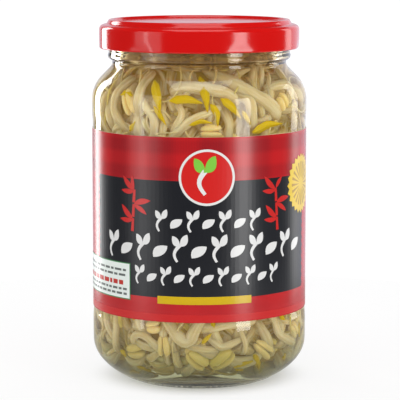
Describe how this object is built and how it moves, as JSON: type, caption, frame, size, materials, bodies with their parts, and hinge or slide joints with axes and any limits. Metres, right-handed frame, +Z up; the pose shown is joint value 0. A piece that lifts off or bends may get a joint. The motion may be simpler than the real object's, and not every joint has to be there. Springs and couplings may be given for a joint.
{
  "type": "jar of bean sprouts",
  "caption": "Round glass preserving jar filled with bean sprouts in brine, with a paper wrap label and a pressed metal lug lid.",
  "frame": {"origin": "centre of the jar's foot, on the plane that it stands on", "axes": "+Z up along the jar's axis; -Y out of the middle of the label's front; +X to the right as seen from the front"},
  "size_m": [0.0734, 0.0734, 0.1232],
  "materials": {
    "glass": "clear, polished, faintly green",
    "lid_enamel": "glossy red enamel on pressed tinplate",
    "sealing_compound": "soft pale sealing compound",
    "label_paper": "coated paper, printed in red, black and yellow",
    "brine": "clear pale yellow liquid",
    "sprouts": "wet, cream to olive, with yellow first leaves"
  },
  "bodies": {
    "jar": {"glass_jar": "glass", "label": "label_paper", "brine": "brine", "bean_sprouts": "sprouts"},
    "lid": {"lid": "lid_enamel", "sealing_gasket": "sealing_compound"}
  },
  "joints": [
    {"name": "lid_twist", "type": "hinge", "parent": "jar", "child": "lid", "pos_m": [0, 0, 0.1184], "axis": [0, 0, 1], "range_deg": [0, 41]}
  ]
}
